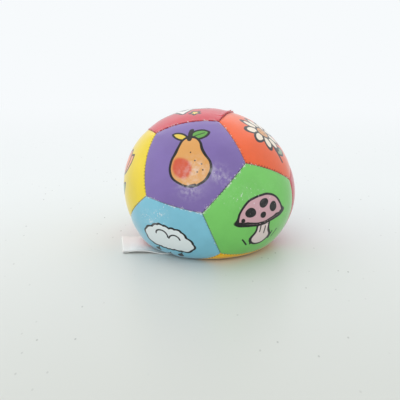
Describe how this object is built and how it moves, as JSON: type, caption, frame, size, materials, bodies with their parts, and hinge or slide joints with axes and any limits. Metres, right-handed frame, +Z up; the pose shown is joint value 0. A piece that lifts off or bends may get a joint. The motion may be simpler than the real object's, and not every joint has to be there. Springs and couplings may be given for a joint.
{
  "type": "soft panel ball",
  "caption": "Soft stuffed ball of sewn five-sided printed vinyl panels, settled on a flat foot, with a folded ribbon label in a seam under its side.",
  "frame": {"origin": "on the table, under the middle of the settled ball, on the flat foot of panel_base", "axes": "+Z up, -Y towards the viewer of the picture, +X to the viewer's right"},
  "size_m": [0.1097, 0.1026, 0.084],
  "materials": {
    "vinyl_purple": "satin printed vinyl",
    "vinyl_red": "satin printed vinyl",
    "vinyl_orange": "satin printed vinyl",
    "vinyl_green": "satin printed vinyl",
    "vinyl_blue": "satin printed vinyl",
    "vinyl_yellow": "satin printed vinyl",
    "vinyl_gold": "satin printed vinyl",
    "thread": "fine polyester sewing thread",
    "stuffing": "loose polyester fibre",
    "ribbon": "white satin ribbon"
  },
  "bodies": {
    "ball": {"panel_front": "vinyl_purple", "panel_upper_right": "vinyl_orange", "panel_top": "vinyl_red", "panel_left": "vinyl_yellow", "panel_lower_left": "vinyl_blue", "panel_lower_right": "vinyl_green", "panel_right": "vinyl_red", "panel_back_right": "vinyl_blue", "panel_back_left": "vinyl_green", "panel_under_left": "vinyl_red", "panel_base": "vinyl_gold", "panel_back": "vinyl_purple", "stuffing": "stuffing", "seam_front_upper_right": "thread", "seam_front_top": "thread", "seam_front_left": "thread", "seam_front_lower_left": "thread", "seam_front_lower_right": "thread", "seam_top_upper_right": "thread", "seam_left_top": "thread", "seam_left_lower_left": "thread", "seam_left_under_left": "thread", "seam_lower_left_lower_right": "thread", "seam_lower_left_under_left": "thread", "seam_lower_right_upper_right": "thread", "seam_lower_right_right": "thread", "seam_right_upper_right": "thread", "seam_back_right_upper_right": "thread", "seam_back_right_top": "thread", "seam_back_right_right": "thread", "seam_back_left_top": "thread", "seam_back_left_left": "thread", "seam_back_left_back_right": "thread", "seam_back_left_under_left": "thread", "seam_base_lower_left": "thread", "seam_base_lower_right": "thread", "seam_base_right": "thread", "seam_base_under_left": "thread", "seam_back_right": "thread", "seam_back_back_right": "thread", "seam_back_back_left": "thread", "seam_back_under_left": "thread", "seam_back_base": "thread", "label_tail": "ribbon"},
    "label": {"label_flap": "ribbon"}
  },
  "joints": [
    {"name": "label_lift", "type": "hinge", "parent": "ball", "child": "label", "pos_m": [-0.04055, -0.01074, 0.0004], "axis": [0.0174, 0.9998, 0], "range_deg": [0, 45]}
  ]
}
